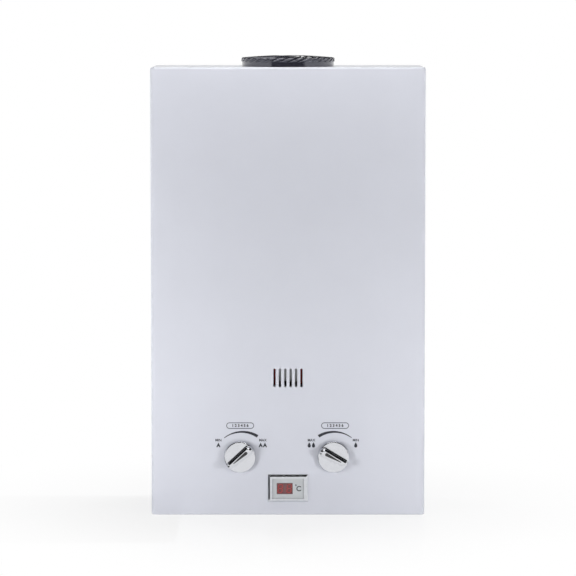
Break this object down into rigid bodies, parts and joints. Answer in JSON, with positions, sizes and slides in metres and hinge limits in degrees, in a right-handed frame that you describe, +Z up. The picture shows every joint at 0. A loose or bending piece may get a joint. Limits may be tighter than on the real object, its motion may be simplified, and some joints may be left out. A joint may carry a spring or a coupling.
{
  "type": "wall-hung gas water heater",
  "caption": "Wall-hung open-flue instant gas water heater: white sheet-metal casing, round top flue, gas and water knobs, temperature display, full inner works.",
  "frame": {"origin": "on the plane the casing stands on, midway between its sides and midway between the knob tips and the wall face", "axes": "+Z up, front with the knobs towards -Y, wall side +Y, +X to the right seen from the front"},
  "size_m": [0.33, 0.157, 0.5525],
  "materials": {
    "casing_paint": "cool silver-white powder coat, satin, with a faint orange-peel texture",
    "galvanised_steel": "bare zinc-coated sheet with a faint spangle",
    "flue_black": "glossy black enamel",
    "copper": null,
    "brass": "turned brass",
    "cast_alloy": "die-cast aluminium, fine grain",
    "stainless": "stainless sheet, heat-tinted near the ports",
    "zinc_screw": "bright zinc plate",
    "ceramic": "white unglazed ceramic",
    "rubber": "black moulded rubber",
    "knob_silver": "silver metallised plastic, satin disc and bright grip",
    "pointer_black": "black enamel inlay",
    "bezel_chrome": "bright chrome plate",
    "panel_silver": "silver painted plastic",
    "lens_red": "dark red transparent window over two digits, modelled as solid",
    "black_plastic": "black moulded plastic",
    "grey_plastic": "pale grey moulded plastic",
    "cell_wrap": "printed plastic wrap, plain",
    "lead_skin": "silicone insulation"
  },
  "bodies": {
    "heater": {"back_plate": "galvanised_steel", "battery_box": "grey_plastic", "battery_cells": "cell_wrap", "burner_bars": "stainless", "burner_frame": "galvanised_steel", "cold_connector": "brass", "cold_pipe": "copper", "combustion_jacket": "copper", "control_box": "grey_plastic", "diaphragm": "rubber", "diaphragm_cover": "brass", "diaphragm_screws": "zinc_screw", "display_bezel": "bezel_chrome", "display_board": "black_plastic", "display_lens": "lens_red", "display_panel": "panel_silver", "electrode_insulators": "ceramic", "electrode_rods": "stainless", "exchanger_brackets": "galvanised_steel", "fin_casing": "copper", "fin_tube": "copper", "flue_collar": "flue_black", "flue_guard": "flue_black", "flue_hood": "galvanised_steel", "front_casing": "casing_paint", "gas_connector": "brass", "gas_jets": "brass", "gas_manifold": "cast_alloy", "gas_riser_pipe": "cast_alloy", "gas_valve_body": "cast_alloy", "gas_valve_bonnet": "cast_alloy", "heat_fins": "copper", "hot_connector": "brass", "hot_pipe": "copper", "inlet_filter": "stainless", "jacket_coil": "copper", "micro_switch": "black_plastic", "overheat_sensor": "black_plastic", "pan_head_screws": "zinc_screw", "pipe_bracket": "galvanised_steel", "pipe_nuts": "brass", "relief_valve": "brass", "return_spring": "stainless", "solenoid_coil": "black_plastic", "spindle_seals": "rubber", "water_valve_body": "brass", "wiring_leads": "lead_skin"},
    "temperature_control": {"temperature_knob": "knob_silver", "temperature_pointer": "pointer_black", "gas_spindle": "brass"},
    "water_control": {"water_knob": "knob_silver", "water_pointer": "pointer_black", "water_spindle": "brass"},
    "linkage": {"push_rod": "brass", "gas_poppet": "rubber"},
    "switch_arm": {"switch_lever": "stainless"},
    "solenoid_core": {"solenoid_plunger": "stainless"},
    "battery_hatch": {"battery_door": "grey_plastic"},
    "relief_knob": {"relief_cap": "black_plastic"}
  },
  "joints": [
    {"name": "temperature_knob_turn", "type": "hinge", "parent": "heater", "child": "temperature_control", "pos_m": [-0.058, -0.065, 0.071], "axis": [0, 1, 0], "range_deg": [-112, 12]},
    {"name": "water_knob_turn", "type": "hinge", "parent": "heater", "child": "water_control", "pos_m": [0.055, -0.065, 0.071], "axis": [0, 1, 0], "range_deg": [0, 124]},
    {"name": "push_rod_slide", "type": "slide", "parent": "heater", "child": "linkage", "axis": [-1, 0, 0], "range_m": [0, 0.0035], "stiffness_N_per_m": 300, "springref_m": -0.01, "deforming": ["return_spring"]},
    {"name": "switch_lever_tilt", "type": "hinge", "parent": "heater", "child": "switch_arm", "pos_m": [-0.0125, 0.02, 0.084], "axis": [0, 1, 0], "range_deg": [0, 36]},
    {"name": "solenoid_plunger_slide", "type": "slide", "parent": "heater", "child": "solenoid_core", "axis": [-1, 0, 0], "range_m": [0, 0.003], "stiffness_N_per_m": 300, "springref_m": -0.005},
    {"name": "battery_door_swing", "type": "hinge", "parent": "heater", "child": "battery_hatch", "pos_m": [-0.116, -0.0065, 0.006], "axis": [1, 0, 0], "range_deg": [0, 100]},
    {"name": "relief_cap_turn", "type": "hinge", "parent": "heater", "child": "relief_knob", "pos_m": [0.095, 0.01, 0.062], "axis": [1, 0, 0], "range_deg": [0, 360]}
  ],
  "couplings": [
    {"joint": "switch_lever_tilt", "follows": "push_rod_slide", "rad_per_m": 177}
  ]
}
